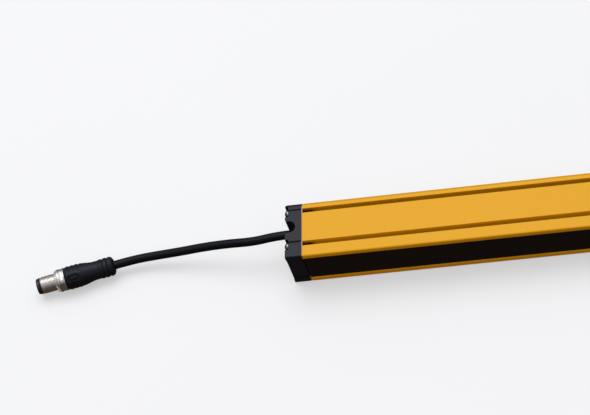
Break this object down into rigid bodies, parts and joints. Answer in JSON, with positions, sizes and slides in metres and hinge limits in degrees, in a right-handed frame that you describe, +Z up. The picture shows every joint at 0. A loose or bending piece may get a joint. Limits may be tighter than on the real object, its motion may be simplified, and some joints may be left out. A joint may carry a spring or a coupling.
{
  "type": "safety light curtain",
  "caption": "Bar of a safety light curtain: painted aluminium extrusion with a black window, screwed end caps, a clear lamp cap and a short cord with a round screw plug.",
  "frame": {"origin": "middle of the bar's length, on the side flat that it lies on, 22.5 mm behind the front and 20.9 mm before the rear face", "axes": "+X along the bar from the cord end to the lamp end, -Y out of the window, +Y out of the rear T-slot, +Z up from the side flat that the bar lies on"},
  "size_m": [0.5524, 0.0434, 0.0355],
  "materials": {
    "yellow_paint": "fine powder coat, semi-gloss",
    "window_tint": "near-black transparent plastic, satin",
    "cap_plastic": "glass-filled moulding, fine texture",
    "lamp_clear": "clear plastic, lightly frosted",
    "gasket_rubber": "matt",
    "screw_steel": "bright",
    "screw_zinc": "bright zinc",
    "cord_jacket": "satin",
    "plug_overmould": "satin",
    "nickel": "nickel plate, satin",
    "insert_black": "satin",
    "gold_plate": "bright",
    "o_ring_rubber": "matt",
    "board_green": "solder mask",
    "chip_black": "matt",
    "lamp_white": "lens",
    "reflector_white": "matt",
    "lens_clear": "clear",
    "foam_black": "matt",
    "can_aluminium": "satin",
    "header_white": "matt",
    "header_black": "matt",
    "clamp_steel": "satin",
    "wire_brown": "gloss",
    "wire_white": "gloss",
    "wire_blue": "gloss",
    "wire_black": "gloss",
    "wire_grey": "gloss",
    "wire_red": "gloss",
    "diode_dark": "gloss"
  },
  "bodies": {
    "root": {"housing_profile": "yellow_paint", "front_window": "window_tint", "window_tape_upper": "foam_black", "window_tape_lower": "foam_black", "pigtail_end_cap": "cap_plastic", "pigtail_cap_gasket": "gasket_rubber", "pigtail_cap_screws": "screw_steel", "lamp_end_cap": "lamp_clear", "lamp_cap_gasket": "gasket_rubber", "lamp_cap_screws": "screw_zinc", "lamp_board": "board_green", "lamp_leds": "lamp_white", "lamp_reflector": "reflector_white", "lamp_header": "header_white", "lamp_leads": "wire_red", "optics_carrier_a": "chip_black", "optics_carrier_b": "chip_black", "lens_strip_a": "lens_clear", "lens_strip_b": "lens_clear", "optics_board_a": "board_green", "optics_board_b": "board_green", "photodiodes": "diode_dark", "receiver_chips": "chip_black", "optics_board_screws": "clamp_steel", "board_link_header": "header_black", "board_stack_header": "header_black", "control_board": "board_green", "control_chips": "chip_black", "filter_capacitors": "can_aluminium", "terminal_header": "header_white", "lead_brown": "wire_brown", "lead_white": "wire_white", "lead_blue": "wire_blue", "lead_black": "wire_black", "lead_grey": "wire_grey", "cable_tail": "cord_jacket", "cable_gland": "foam_black", "cable_clamp": "clamp_steel", "pigtail_cord": "cord_jacket", "connector_grip": "plug_overmould", "contact_carrier": "insert_black", "contact_pins": "gold_plate", "connector_o_ring": "o_ring_rubber"},
    "coupling_ring": {"coupling_nut": "nickel"}
  },
  "joints": [
    {"name": "coupling_nut_spin", "type": "hinge", "parent": "root", "child": "coupling_ring", "pos_m": [-0.35463, -0.0072, 0.0083], "axis": [-0.9803, -0.1977, 0], "continuous": true}
  ]
}
